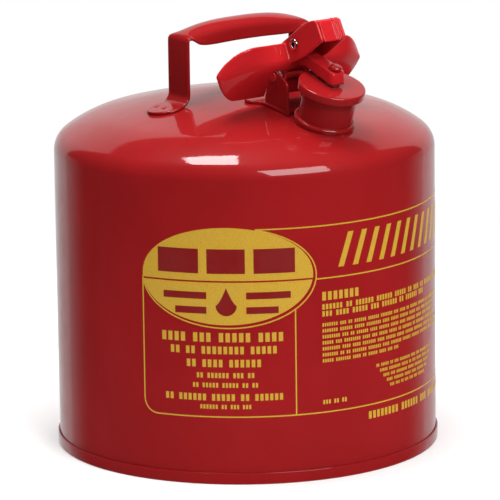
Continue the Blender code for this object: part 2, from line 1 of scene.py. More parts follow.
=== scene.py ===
"""Looks of the safety can: fine surfaces, enamel, metals, printed label, studio and camera.

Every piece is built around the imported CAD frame, in metres, +Z up, origin on the can's axis at the
floor. The handle and the hinge pin run along X, and the spout leans towards -Y. A bearing is an
angle round the can in degrees, from -Y towards +X.
"""
import json
import random
from math import atan2, ceil, cos, degrees, exp, hypot, pi, radians, sin, sqrt

import bmesh
import bpy
from mathutils import Matrix, Vector, noise


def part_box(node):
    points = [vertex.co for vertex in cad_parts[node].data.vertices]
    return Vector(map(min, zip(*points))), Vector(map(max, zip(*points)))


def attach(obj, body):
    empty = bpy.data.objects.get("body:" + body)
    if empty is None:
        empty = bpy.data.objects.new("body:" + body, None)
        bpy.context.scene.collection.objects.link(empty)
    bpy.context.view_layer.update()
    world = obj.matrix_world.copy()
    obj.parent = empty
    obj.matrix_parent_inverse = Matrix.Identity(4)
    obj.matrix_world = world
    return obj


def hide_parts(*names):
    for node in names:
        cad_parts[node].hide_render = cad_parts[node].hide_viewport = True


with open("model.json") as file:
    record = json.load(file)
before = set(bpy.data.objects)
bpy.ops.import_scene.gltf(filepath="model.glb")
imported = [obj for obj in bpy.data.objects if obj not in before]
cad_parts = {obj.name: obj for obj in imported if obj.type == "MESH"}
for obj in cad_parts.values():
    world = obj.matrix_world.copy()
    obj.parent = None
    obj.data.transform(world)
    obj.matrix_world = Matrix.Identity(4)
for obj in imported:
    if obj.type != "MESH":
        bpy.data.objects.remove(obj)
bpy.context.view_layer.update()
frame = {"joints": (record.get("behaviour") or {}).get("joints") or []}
JOINTS = {joint["name"]: joint for joint in frame["joints"]}

# Axes and sizes that the frame gives.
PIVOT = Vector(JOINTS["lever_pull"]["pos_m"])
LATCH_PIVOT = Vector(JOINTS["latch_tip"]["pos_m"])
CAP_CENTRE = Vector(JOINTS["cap_turn"]["pos_m"])
SPOUT_AXIS = Vector(JOINTS["cap_turn"]["axis"])
BODY_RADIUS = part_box("can_body")[1].x
CHIME_RADIUS, _, CHIME_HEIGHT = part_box("bottom_chime")[1]
WING_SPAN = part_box("closure_lever")[1].x
HANDLE_LOW, HANDLE_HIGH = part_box("carry_handle")

# The can's shell.
BODY_WALL = 0.0010
WALL_TOP = 0.2465
WALL_FOOT = 0.0025
GAP = 0.0003
SHOULDER_RADIUS, SHOULDER_END = 0.0189, 52.5
HAUNCH_RADIUS, HAUNCH_END = 0.094, 76.0
CROWN_RADIUS, CROWN_END = 0.750, 82.6
CAN_STEPS = 288
CHIME_METAL = 0.0012
PAN_RECESS = 0.0065

# The spout and the cap.
CAP_TOP = 0.0352
CAP_RADIUS = 0.0276
CAP_SKIRT = 0.0064
CAP_METAL = 0.0014
NECK_RADIUS = 0.0220
NECK_BORE = 0.0205
NECK_HEIGHT = 0.0310
RIVET_HOLE = 0.0030
RIVET_HEAD_RISE = 0.0135
WASHER_RADIUS, WASHER_METAL = 0.0062, 0.0008
SPOUT_STEPS = 128
ARRESTER_RADIUS = 0.0180
ARRESTER_LENGTH = 0.085
SPOUT_TILT = atan2(-SPOUT_AXIS.y, SPOUT_AXIS.z)
SPOUT_FRAME = (Matrix.Translation(CAP_CENTRE - CAP_TOP * SPOUT_AXIS)
               @ Matrix.Rotation(SPOUT_TILT, 4, "X"))

# The lever, the hinge and the latch.
PIN_RADIUS = 0.0025
LEVER_METAL = 0.0030
CHEEK_INNER, CHEEK_OUTER = 0.0100, 0.0128
TONGUE_HALF = 0.0070
WEB_HALF = 0.0163
EAR_INNER, EAR_OUTER = 0.0174, 0.0197
NOTCH_HALF, NOTCH_TOP_HALF = 0.0209, 0.0268
LATCH_BORE = 0.0036

# The handle.
HANDLE_TOP = HANDLE_HIGH.z
HANDLE_REACH = HANDLE_HIGH.x
HANDLE_WIDTH = HANDLE_HIGH.y - HANDLE_LOW.y
HANDLE_OFFSET = (HANDLE_HIGH.y + HANDLE_LOW.y) / 2
HANDLE_METAL = 0.0028
FOOT_LENGTH = 0.0315
HANDLE_HALF_SPAN = HANDLE_REACH - FOOT_LENGTH
HANDLE_ARCH, ARCH_POWER = 0.0105, 2.8
HANDLE_HEEL, HANDLE_KNEE = 0.006, 0.007
KNEE_DROP, KNEE_LEAN = 0.005, 108.0
GRIP_SAG = 0.0014
FOOT_FLARE, FOOT_TRIM = 1.2, 0.0027
WELD_RADIUS, WELD_DEPTH = 0.0022, 0.0013
GRIP_DEPTH = 0.0157
GRIP_ROUND = 0.0080
GRIP_BOW = 0.60
GRIP_END, GRIP_POWER = 0.0646, 3.8

# The photograph's viewpoint.
VIEW_BEARING = -38.0
VIEW_ELEVATION = 12.49
VIEW_ROLL = -0.78
VIEW_DISTANCE = 3.727
VIEW_TARGET = Vector((0.0, 0.0, 0.1582))
VIEW_LENS = 323.0
VIEW_SHIFT = 0.00866


# Outlines

def mix(start, end, share):
    """A value between two others."""
    return start + (end - start) * share


def arc_points(centre, radius, start, end, steps):
    """Points on an arc, as (across, up) pairs, with the angles in degrees."""
    angles = [radians(mix(start, end, i / steps)) for i in range(steps + 1)]
    return [(centre[0] + radius * cos(a), centre[1] + radius * sin(a)) for a in angles]


def circle(radius, steps, height=0.0, turn=0.0):
    """Points round a level circle; the turn is in steps."""
    angles = [2 * pi * (i + turn) / steps for i in range(steps)]
    return [(radius * cos(a), radius * sin(a), height) for a in angles]


def arc_end(centre, radius, angle):
    """The point of an arc at one angle."""
    return arc_points(centre, radius, angle, angle, 1)[0]


def crown_profile(offset=0.0, fine=1):
    """The crown's outline from the wall's top to the axis, moved outward by the offset."""
    centre = (BODY_RADIUS - SHOULDER_RADIUS, WALL_TOP)
    points = arc_points(centre, SHOULDER_RADIUS + offset, 0.0, SHOULDER_END, 14 * fine)
    start = arc_end(centre, SHOULDER_RADIUS, SHOULDER_END)
    for radius, begin, end in ((HAUNCH_RADIUS, SHOULDER_END, HAUNCH_END),
                               (CROWN_RADIUS, HAUNCH_END, CROWN_END)):
        centre = arc_end(start, -radius, begin)
        points += arc_points(centre, radius + offset, begin, end, 10 * fine)[1:]
        start = arc_end(centre, radius, end)
    radius = start[0] / cos(radians(CROWN_END))
    centre = arc_end(start, -radius, CROWN_END)
    points += arc_points(centre, radius + offset, CROWN_END, 90.0, 10 * fine)[1:]
    points[-1] = (0.0, points[-1][1])
    return points


CROWN = crown_profile(fine=3)


def crown_height(radius):
    """Height of the crown's outside above the floor at a distance from the can's axis."""
    for (r_out, z_out), (r_in, z_in) in zip(CROWN, CROWN[1:]):
        if r_in <= radius <= r_out:
            return mix(z_in, z_out, (radius - r_in) / (r_out - r_in))
    return WALL_TOP


def mirrored(half):
    """A whole outline from its right half."""
    return half + [(-across, up) for across, up in half[::-1]]


def soften(outline, reach, steps=4, closed=True):
    """Round every corner of an outline, starting each curve at most this far from its corner."""
    points = [Vector(point) for point in outline]
    rounded = []
    for i, corner in enumerate(points):
        if not closed and i in (0, len(points) - 1):
            rounded.append(corner)
            continue
        before = points[i - 1] - corner
        after = points[(i + 1) % len(points)] - corner
        near = min(reach, 0.48 * before.length, 0.48 * after.length)
        start = corner + near * before.normalized()
        end = corner + near * after.normalized()
        for k in range(steps + 1):
            t = k / steps
            rounded.append(start.lerp(corner, t).lerp(corner.lerp(end, t), t))
    return rounded


def heading(points, i):
    """The direction of a path at one of its points."""
    return (points[min(i + 1, len(points) - 1)] - points[max(i - 1, 0)]).normalized()


def leftward(points, i):
    """The direction to the left of a flat path at one of its points."""
    along = heading(points, i)
    return Vector((-along.y, along.x))


def inset_outline(points, depth):
    """Move an outline to its left."""
    return [point + depth * leftward(points, i) for i, point in enumerate(points)]


# Meshes

def linked(name, data):
    """A new object in the scene."""
    obj = bpy.data.objects.new(name, data)
    bpy.context.scene.collection.objects.link(obj)
    return obj


def make_object(name, bm, transform=None):
    """Turn a bmesh into an object whose place is in its mesh."""
    bmesh.ops.remove_doubles(bm, verts=bm.verts, dist=1e-7)
    bmesh.ops.recalc_face_normals(bm, faces=bm.faces)
    if transform is not None:
        bmesh.ops.transform(bm, matrix=transform, verts=bm.verts)
    mesh = bpy.data.meshes.new(name)
    bm.to_mesh(mesh)
    bm.free()
    return linked(name, mesh)


def bridge(bm, rings, closed=False):
    """Faces between rings of points; a ring of one point closes the surface."""
    pairs = list(zip(rings, rings[1:]))
    if closed:
        pairs.append((rings[-1], rings[0]))
    for first, second in pairs:
        count = max(len(first), len(second))
        for i in range(count):
            j = (i + 1) % count
            corners = [first[i % len(first)], first[j % len(first)],
                       second[j % len(second)], second[i % len(second)]]
            corners = list(dict.fromkeys(corners))
            if len(corners) > 2:
                bm.faces.new(corners)


def lathe(name, profile, steps, transform=None):
    """Turn an outline of (radius, height) pairs about Z; an outline off the axis is closed."""
    bm = bmesh.new()
    rings = [[bm.verts.new(point) for point in circle(radius, steps if radius > 1e-6 else 1, height)]
             for radius, height in profile]
    bridge(bm, rings, closed=len(rings[0]) > 1)
    return make_object(name, bm, transform)


def loft(name, rings, transform=None):
    """Bridge equal rings of points into one solid, with a face on each end."""
    bm = bmesh.new()
    loops = [[bm.verts.new(point) for point in ring] for ring in rings]
    bridge(bm, loops)
    bm.faces.new(loops[0])
    bm.faces.new(loops[-1])
    return make_object(name, bm, transform)


def side_plate(name, outline, start, end):
    """Extrude an outline of (y, z) pairs along X."""
    return loft(name, [[Vector((x, p[0], p[1])) for p in outline] for x in (start, end)])


def level_plate(name, outline, low, high):
    """Extrude an outline of (x, y) pairs along Z."""
    return loft(name, [[Vector((p[0], p[1], z)) for p in outline] for z in (low, high)])


def applied(obj):
    """Bake an object's modifiers into its mesh."""
    bpy.context.view_layer.update()
    mesh = bpy.data.meshes.new_from_object(
        obj.evaluated_get(bpy.context.evaluated_depsgraph_get()))
    obj.modifiers.clear()
    obj.data = mesh
    return obj


def combine(obj, tool, operation):
    """Join, cut or trim an object with a tool, which is used up."""
    modifier = obj.modifiers.new("combine", "BOOLEAN")
    modifier.operation = operation
    modifier.solver = "EXACT"
    modifier.object = tool
    applied(obj)
    bpy.data.objects.remove(tool)
    return obj


def cast(parts, voxel, rounds):
    """Merge overlapping solids into one skin with small fillets, as a casting or a weld has."""
    whole = parts[0]
    bm = bmesh.new()
    for part in parts:
        bm.from_mesh(part.data)
    bm.to_mesh(whole.data)
    bm.free()
    for part in parts[1:]:
        bpy.data.objects.remove(part)
    skin = whole.modifiers.new("skin", "REMESH")
    skin.mode = "VOXEL"
    skin.voxel_size = voxel
    ease = whole.modifiers.new("ease", "SMOOTH")
    ease.factor = 0.5
    ease.iterations = rounds
    return applied(whole)


def bore(obj, radius, transform, half_length, steps=48):
    """Cut a round hole along a frame's Z axis."""
    rod = [(0.0, -half_length), (radius, -half_length), (radius, half_length), (0.0, half_length)]
    return combine(obj, lathe("bore", rod, steps, transform), "DIFFERENCE")


def axis_frame(point, axis):
    """A frame at a point, with its Z along an axis."""
    turn = Vector((0, 0, 1)).rotation_difference(Vector(axis)).to_matrix().to_4x4()
    return Matrix.Translation(point) @ turn


def finish_piece(obj, name, body, slot, material, *nodes, sharp=38):
    """Name a piece, shade it, give it its material, and put it on its body."""
    obj.name = name
    obj.data.name = name
    obj.data.materials.clear()
    obj.data.materials.append(material)
    obj.data.shade_smooth()
    obj.data.set_sharp_from_angle(angle=radians(sharp))
    if nodes:
        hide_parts(*nodes)
    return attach(obj, body)


# Materials

class Nodes:
    """A node tree with short ways to add nodes."""

    def __init__(self, tree):
        self.tree = tree

    def add(self, kind, inputs=(), **settings):
        """A node with its settings, and its inputs as values or links."""
        made = self.tree.nodes.new(kind)
        for key, value in settings.items():
            setattr(made, key, value)
        for key, value in dict(inputs).items():
            self.feed(made.inputs[key], value)
        return made

    def feed(self, socket, value):
        """Give a socket a value or a link."""
        if isinstance(value, bpy.types.NodeSocket):
            self.tree.links.new(value, socket)
        else:
            socket.default_value = value

    def ramp(self, value, low, high, start=0.0, end=1.0):
        """Map a range of values smoothly to another."""
        made = self.add("ShaderNodeMapRange", {
            "Value": value, "From Min": low, "From Max": high, "To Min": start, "To Max": end},
            interpolation_type="SMOOTHSTEP")
        return made.outputs[0]

    def math(self, a, b, operation="MULTIPLY"):
        """The product of two values, or another operation on them."""
        made = self.add("ShaderNodeMath", operation=operation)
        self.feed(made.inputs[0], a)
        self.feed(made.inputs[1], b)
        return made.outputs[0]


class Shader(Nodes):
    """The nodes of a material with one surface."""

    def __init__(self, name):
        self.material = bpy.data.materials.new(name)
        self.material.use_nodes = True
        super().__init__(self.material.node_tree)
        self.surface = self.tree.nodes["Principled BSDF"]
        self.place = self.add("ShaderNodeTexCoord").outputs["Object"]

    def set(self, name, value):
        """Give the surface a value or a link."""
        self.feed(self.surface.inputs[name], value)

    def noise(self, scale, detail=2.0):
        """Noise with this many cells to a metre."""
        made = self.add("ShaderNodeTexNoise", {
            "Vector": self.place, "Scale": scale, "Detail": detail, "Roughness": 0.55})
        return made.outputs["Fac"]

    def blend(self, share, start, end):
        """A colour between two others."""
        made = self.add("ShaderNodeMix", data_type="RGBA")
        for index, value in ((0, share), (6, start), (7, end)):
            self.feed(made.inputs[index], value)
        return made.outputs[2]

    def bump(self, height, distance, below=None):
        """Bumps of this height in metres, on top of others."""
        inputs = {"Height": height, "Distance": distance, "Strength": 1.0}
        if below is not None:
            inputs["Normal"] = below
        return self.add("ShaderNodeBump", inputs).outputs[0]

    def edges(self, low, high):
        """A mask of outer edges, broken up as wear is."""
        sharp = self.add("ShaderNodeNewGeometry").outputs["Pointiness"]
        return self.math(self.ramp(sharp, low, high), self.ramp(self.noise(260, 4.0), 0.48, 0.62))


def shade(colour, factor):
    """A colour made lighter or darker, with alpha."""
    return (*[min(1.0, channel * factor) for channel in colour], 1.0)


def enamel(name, colour, wear=0.35):
    """Baked gloss enamel: slow colour drift, painted shade in creases, orange peel, smudged gloss and
    rubbed edges.
    """
    s = Shader(name)
    drift = s.ramp(s.noise(9.0, 3.0), 0.35, 0.65)
    fresh = s.blend(drift, shade(colour, 0.93), shade(colour, 1.05))
    # Painted shade: concave creases and hollows are darkened towards a darker copy of the colour.
    crease_shade = s.ramp(s.add("ShaderNodeNewGeometry").outputs["Pointiness"], 0.40, 0.48, 0.45, 0.0)
    fresh = s.blend(crease_shade, fresh, shade(colour, 0.45))
    rubbed = s.math(s.edges(0.53, 0.60), wear)
    s.set("Base Color", s.blend(rubbed, fresh, (min(1.0, colour[0] * 1.25), 0.09, 0.075, 1.0)))
    smudge = s.ramp(s.noise(38.0, 4.0), 0.42, 0.68)
    s.set("Roughness", s.math(s.math(smudge, 0.10), 0.30, "ADD"))
    s.set("Specular IOR Level", 0.05)
    s.set("Coat Weight", 0.92)
    s.set("Coat IOR", 1.48)
    s.set("Coat Roughness", s.math(s.math(smudge, 0.035), 0.025, "ADD"))
    waves = s.bump(s.noise(70.0, 1.0), 0.00005)
    skin = s.bump(s.noise(620.0), 0.00002, waves)
    s.set("Normal", skin)
    s.set("Coat Normal", skin)
    return s.material


def metal(name, colour, roughness, tarnish=0.5):
    """Bare metal with a fine grain, uneven polish and duller patches."""
    s = Shader(name)
    patches = s.ramp(s.noise(130.0, 4.0), 0.40, 0.66)
    s.set("Base Color", s.blend(s.math(patches, tarnish), shade(colour, 1.0), shade(colour, 0.55)))
    s.set("Metallic", 1.0)
    grain = s.noise(900.0, 3.0)
    s.set("Roughness", s.math(s.math(grain, 0.22), roughness - 0.08, "ADD"))
    s.set("Normal", s.bump(grain, 0.00003))
    return s.material


def rubber(name, colour):
    """Dark moulded rubber with a fine dusty grain."""
    s = Shader(name)
    dust = s.ramp(s.noise(240.0, 4.0), 0.45, 0.70)
    s.set("Base Color", s.blend(dust, shade(colour, 1.0), shade(colour, 2.4)))
    s.set("Roughness", s.ramp(dust, 0.0, 1.0, 0.55, 0.80))
    s.set("Normal", s.bump(s.noise(1500.0), 0.00005))
    return s.material


def ink(name, colour, thin):
    """Screen-printed ink: uneven cover, small gloss changes and a little grain."""
    s = Shader(name)
    cover = s.ramp(s.noise(1300.0, 3.0), 0.34, 0.50)
    s.set("Base Color", s.blend(cover, thin, shade(colour, 1.0)))
    s.set("Roughness", s.ramp(s.noise(55.0, 3.0), 0.35, 0.65, 0.28, 0.42))
    s.set("Specular IOR Level", 0.35)
    s.set("Normal", s.bump(s.noise(900.0), 0.00002))
    return s.material


# The can

def wave(point):
    """How far the drawn sheet stands out of true at a point, in metres."""
    return 0.00006 * noise.noise(point * 14.0)


def build_can(red):
    """The shell with its spout hole, the recessed bottom and the rolled chime."""
    wall = [(BODY_RADIUS, mix(WALL_FOOT, WALL_TOP, i / 22)) for i in range(22)]
    inside = [(BODY_RADIUS - BODY_WALL, mix(WALL_TOP, WALL_FOOT, i / 4)) for i in range(1, 5)]
    profile = wall + crown_profile()
    inner = crown_profile(-BODY_WALL)[::-1] + inside
    body = lathe("shell", profile[::-1] + inner[::-1], CAN_STEPS)
    for vert in body.data.vertices:
        out = Vector((vert.co.x, vert.co.y, 0.0)).normalized()
        share = min(1.0, hypot(vert.co.x, vert.co.y) / BODY_RADIUS * 1.2)
        vert.co += out * wave(vert.co) * share * (vert.co.z > CHIME_HEIGHT)
    bore(body, NECK_RADIUS + GAP, SPOUT_FRAME, 0.02, SPOUT_STEPS)
    finish_piece(body, "can_shell", "can", "enamel", red, "can_body")

    flange = BODY_RADIUS - BODY_WALL - GAP
    inner_flange = flange - BODY_WALL
    rise = PAN_RECESS + 0.009
    upper = soften([(0.0, rise), (0.130, rise - 0.004), (flange - 0.002, rise - 0.003),
                    (flange, rise - 0.005), (flange, WALL_FOOT)], 0.006, 8, closed=False)
    lower = soften([(inner_flange, WALL_FOOT), (inner_flange, rise - 0.006),
                    (inner_flange - 0.0015, rise - 0.004 - BODY_WALL),
                    (0.130, rise - 0.004 - BODY_WALL), (0.0, rise - BODY_WALL)],
                   0.005, 8, closed=False)
    pan = lathe("pan", upper + lower, CAN_STEPS)
    finish_piece(pan, "recessed_bottom", "can", "pan_steel", red, "bottom_pan")

    outer = BODY_RADIUS + GAP / 3
    inner_leg = inner_flange - GAP
    foot = WALL_FOOT - GAP
    chime = soften([
        (outer, foot), (outer, CHIME_HEIGHT), (CHIME_RADIUS, CHIME_HEIGHT), (CHIME_RADIUS, 0.0),
        (inner_leg - CHIME_METAL, 0.0), (inner_leg - CHIME_METAL, CHIME_HEIGHT - 0.002),
        (inner_leg, CHIME_HEIGHT - 0.002), (inner_leg, foot)], 0.0011, 5)
    ring = lathe("chime", chime, CAN_STEPS)
    finish_piece(ring, "rolled_chime", "can", "enamel", red, "bottom_chime")


def turned(name, outline, reach, steps, body, slot, material, node, transform=SPOUT_FRAME):
    """A turned piece with softened corners, in the spout's frame unless another is given."""
    on_axis = outline[0][0] < 1e-6
    piece = lathe(name, soften(outline, reach, closed=not on_axis), steps, transform)
    return finish_piece(piece, name, body, slot, material, node)


def dome_seat(offset, fine, steps):
    """A solid under the dome's outside, to cut what stands on it."""
    return lathe("seat", [(BODY_RADIUS, 0.2)] + crown_profile(offset, fine) + [(0.0, 0.2)], steps)


def band(inner, outer, low, high):
    """The rectangular section of a plain ring."""
    return [(inner, low), (outer, low), (outer, high), (inner, high)]


def build_spout(red, brass, steel, screen):
    """The neck, its collar with a rolled bead, and the flame arrester inside it."""
    turned("neck_tube", band(NECK_BORE, NECK_RADIUS, -0.004, NECK_HEIGHT),
           0.0006, SPOUT_STEPS, "can", "enamel", red, "spout_neck")

    bead = [(NECK_RADIUS + GAP / 3, -0.008), (NECK_RADIUS + 0.0024, -0.008)]
    bead += arc_points((NECK_RADIUS + 0.0010, 0.0033), 0.0021, -35, 112, 14)
    bead += [(NECK_RADIUS + GAP / 3, 0.0056)]
    collar = lathe("collar", bead, SPOUT_STEPS, SPOUT_FRAME)
    combine(collar, dome_seat(0.00005, 2, CAN_STEPS), "DIFFERENCE")
    finish_piece(collar, "collar_bead", "can", "enamel", red, "neck_collar")

    seat_height = NECK_HEIGHT - 0.0065
    flange = NECK_BORE - GAP
    sleeve = ARRESTER_RADIUS + GAP
    turned("arrester_seat", [
        (sleeve, seat_height - 0.0045), (sleeve + 0.0010, seat_height - 0.0045),
        (sleeve + 0.0010, seat_height), (flange, seat_height), (flange, seat_height + 0.0012),
        (sleeve, seat_height + 0.0012)], 0.0004, 96, "can", "brass", brass, "arrester_flange")
    foot = seat_height - ARRESTER_LENGTH
    turned("arrester_base", [
        (0.0, foot - GAP - 0.0010), (sleeve + 0.0010, foot - GAP - 0.0010),
        (sleeve + 0.0010, foot + 0.0050), (sleeve, foot + 0.0050), (sleeve, foot - GAP),
        (0.0, foot - GAP)], 0.0006, 96, "can", "brass", brass, "arrester_end_cap")
    ring_foot = seat_height + 0.0012 + GAP
    turned("arrester_snap_ring",
           band(ARRESTER_RADIUS - 0.0010, flange, ring_foot, ring_foot + 0.0014),
           0.0005, 96, "can", "zinc", steel, "arrester_retaining_ring")

    bm = bmesh.new()
    around, rows = 54, 40
    rings = [[bm.verts.new(point) for point in circle(
        ARRESTER_RADIUS - 0.0006, around, mix(foot, seat_height, j / rows), j % 2 / 2)]
             for j in range(rows + 1)]
    bridge(bm, rings)
    gauze = make_object("gauze", bm, SPOUT_FRAME)
    wires = gauze.modifiers.new("wires", "WIREFRAME")
    wires.thickness = 0.0007
    wires.use_even_offset = False
    finish_piece(applied(gauze), "arrester_gauze", "can", "screen", screen, "arrester_screen")


def build_cap(red, rubber_black, zinc):
    """The lid, its gasket and retainer, the washer and the rivet that holds them."""
    inside = CAP_TOP - CAP_METAL
    skirt = CAP_TOP - CAP_SKIRT
    inner = CAP_RADIUS - CAP_METAL
    turned("lid", [
        (RIVET_HOLE, inside), (inner, inside), (inner, skirt), (CAP_RADIUS, skirt),
        (CAP_RADIUS, CAP_TOP), (RIVET_HOLE, CAP_TOP)],
        0.0017, SPOUT_STEPS, "cap", "enamel", red, "spout_cap")
    top = inside - GAP
    foot = NECK_HEIGHT + GAP
    turned("lid_gasket", band(0.0120, inner - 0.0016, foot, top),
           0.0006, SPOUT_STEPS, "cap", "gasket", rubber_black, "cap_gasket")
    turned("gasket_dish", [
        (RIVET_HOLE, top - 0.0010), (0.0100, top - 0.0010), (0.0112, foot - GAP),
        (0.0160, foot - GAP), (0.0160, foot - GAP - 0.0010), (0.0104, foot - GAP - 0.0010),
        (0.0092, top - 0.0020), (RIVET_HOLE, top - 0.0020)],
        0.0006, 96, "cap", "zinc", zinc, "gasket_retainer")
    seat = CAP_TOP + GAP
    turned("tongue_washer", band(RIVET_HOLE, WASHER_RADIUS, seat, seat + WASHER_METAL),
           0.0003, 64, "lever", "zinc", zinc, "cap_washer")
    shank = RIVET_HOLE - GAP
    tail = top - 0.0020 - GAP
    head = CAP_TOP + RIVET_HEAD_RISE
    turned("tongue_rivet", [
        (0.0, tail - 0.0016), (0.0044, tail - 0.0016), (0.0048, tail), (shank, tail),
        (shank, head), (0.0053, head), (0.0053, head + 0.0016), (0.0040, head + 0.0032),
        (0.0, head + 0.0034)], 0.0010, 64, "lever", "enamel", red, "cap_rivet")


# The closure lever

def wing_section(x):
    """The trigger bar's outer outline at one x, from its top edge over the crest to its foot."""
    reach = abs(x) / WING_SPAN
    top_share = max(0.0, (abs(x) - 0.040) / (WING_SPAN - 0.040))
    foot_share = max(0.0, (abs(x) - 0.050) / (WING_SPAN - 0.050))
    turn_in = max(0.0, (abs(x) - 0.048) / (WING_SPAN - 0.048))
    rim = mix(-0.0715, -0.0740, min(1.0, abs(x) / 0.048))
    top = Vector((mix(rim, -0.0600, turn_in ** 1.4), mix(0.3437, 0.3226, top_share ** 2.55)))
    crest = Vector((mix(-0.0800, -0.0626, reach ** 2.6),
                    mix(0.3285, 0.3209, reach ** 1.3)))
    foot = Vector((mix(-0.0540, -0.0615, foot_share ** 1.6),
                   mix(0.2975, 0.3193, foot_share ** 2.3)))
    into = crest.lerp(top, mix(0.22, 0.60, reach ** 3))
    out = crest.lerp(foot, mix(0.16, 0.70, reach ** 3))
    outline = [top.lerp(into, i / 5) for i in range(5)]
    outline += [into.lerp(crest, i / 6).lerp(crest.lerp(out, i / 6), i / 6) for i in range(6)]
    return outline + [out.lerp(foot, i / 6) for i in range(7)]


def build_trigger_bar():
    """The C-shaped bar with its two wings, notched in the middle to clear the bracket."""
    count = 56
    rings = []
    for i in range(-count, count + 1):
        x = WING_SPAN * sin(i / count * pi / 2)
        outer = wing_section(x)
        inner = inset_outline(outer, LEVER_METAL)
        rings.append([Vector((x, p.x, p.y)) for p in outer + inner[::-1]])
    bar = loft("bar", rings)
    opening = mirrored([(NOTCH_HALF, 0.2800), (NOTCH_HALF, 0.2985), (NOTCH_TOP_HALF, 0.3180),
                        (NOTCH_TOP_HALF, 0.3215)])
    notch = loft("notch", [[Vector((x, y, z)) for x, z in opening] for y in (-0.100, -0.040)])
    return combine(bar, notch, "DIFFERENCE")


def cheek_outline():
    """Side view of a cheek: the lug round the pin, the back, the long top and the blunt front."""
    lug = arc_points((PIVOT.y, PIVOT.z), 0.0060, 160, 380, 20)
    back = soften([lug[-1], (-0.0590, 0.3280), (-0.0650, 0.3418), (-0.0770, 0.3496),
                   (-0.0913, 0.3592), (-0.1016, 0.3646), (-0.1075, 0.3662)],
                  0.005, 6, closed=False)
    front = soften([back[-1], (-0.1114, 0.3654), (-0.1155, 0.3578), (-0.1190, 0.3512),
                    (-0.1182, 0.3500)], 0.0022, 5, closed=False)
    under = soften([front[-1], (-0.1140, 0.3475), (-0.1050, 0.3410), (-0.0947, 0.3340),
                    (-0.0779, 0.3268), lug[0]], 0.005, 6, closed=False)
    return lug[:-1] + back[:-1] + front[:-1] + under[:-1]


def build_lever(red):
    """One casting: trigger bar, two cheeks with lugs, and the tongue that carries the cap."""
    across = axis_frame(PIVOT, (1, 0, 0))
    latch_axis = axis_frame(LATCH_PIVOT, (1, 0, 0))
    parts = [build_trigger_bar()]
    for side in (-1, 1):
        cheek = side_plate("cheek", cheek_outline(), side * CHEEK_INNER, side * CHEEK_OUTER)
        bore(cheek, PIN_RADIUS + GAP, across, 0.03)
        parts.append(bore(cheek, LATCH_BORE + GAP, latch_axis, 0.03))
    parts.append(side_plate("middle_web", [
        (-0.0640, 0.3395), (-0.0597, 0.3180), (-0.0572, 0.2985), (-0.0540, 0.2980),
        (-0.0560, 0.3150), (-0.0592, 0.3340), (-0.0610, 0.3395),
    ], -WEB_HALF, WEB_HALF))
    tongue = side_plate("tongue", soften([
        (-0.0690, 0.3405), (-0.0690, 0.3245), (-0.0800, 0.3262), (-0.0900, 0.3258),
        (-0.1232, 0.3138), (-0.1246, 0.3148), (-0.1246, 0.3232), (-0.1230, 0.3250),
        (-0.0984, 0.3330), (-0.0850, 0.3360), (-0.0740, 0.3420),
    ], 0.0014), -TONGUE_HALF, TONGUE_HALF)
    nose = level_plate("nose", mirrored([(0.0050, -0.1250), (0.0082, -0.1200), (0.0082, -0.0500)]),
                       0.300, 0.350)
    combine(tongue, nose, "INTERSECT")
    parts.append(bore(tongue, RIVET_HOLE, SPOUT_FRAME, 0.06))
    lever = cast(parts, 0.0007, 6)
    finish_piece(lever, "lever_casting", "lever", "lever_enamel", red, "closure_lever", sharp=60)

    head = EAR_OUTER + GAP
    turned("hinge_pin", [
        (0.0, -head - 0.0010), (0.0038, -head - 0.0009), (0.0042, -head), (PIN_RADIUS, -head),
        (PIN_RADIUS, head), (0.0042, head), (0.0038, head + 0.0009), (0.0, head + 0.0010)],
        0.0006, 48, "can", "enamel", red, "lever_pivot_pin", across)


def coil_path(centre, radius, start_x, end_x, turns, start, legs):
    """Centre line of a torsion spring along X, with a straight leg at each end."""
    per_turn = 32
    steps = round(turns * per_turn)
    path = []
    for i in range(steps + 1):
        angle = start + 2 * pi * i / per_turn
        path.append(centre + Vector((mix(start_x, end_x, i / steps), radius * cos(angle),
                                     radius * sin(angle))))
    end = start + 2 * pi * turns
    first = path[0] - legs * Vector((0.0, -sin(start), cos(start)))
    last = path[-1] + legs * Vector((0.0, -sin(end), cos(end)))
    return [first] + path + [last]


def wire(name, path, radius):
    """A round wire along a path."""
    sides = 12
    rings = []
    for i, point in enumerate(path):
        along = heading(path, i)
        side = along.cross(Vector((1.0, 0.0, 0.35))).normalized()
        rise = along.cross(side)
        rings.append([point + radius * (cos(2 * pi * k / sides) * side
                                        + sin(2 * pi * k / sides) * rise)
                      for k in range(sides)])
    return loft(name, rings)


def build_springs(steel):
    """The two closing springs between cheeks and ears, and the latch's small spring."""
    wire_radius = 0.0006
    near = CHEEK_OUTER + wire_radius + GAP
    far = EAR_INNER - wire_radius - GAP
    for side, name in ((-1, "left"), (1, "right")):
        path = coil_path(PIVOT, 0.0042, side * near, side * far, 2.5, radians(240), 0.005)
        finish_piece(wire("coil", path, wire_radius), "closing_spring_" + name, "can",
                     "spring_steel", steel, "torsion_spring_" + name)
    path = coil_path(LATCH_PIVOT, 0.0050, -0.0021, 0.0021, 3, radians(200), 0.002)
    finish_piece(wire("coil", path, 0.0005), "latch_return_spring", "lever",
                 "spring_steel", steel, "latch_spring")


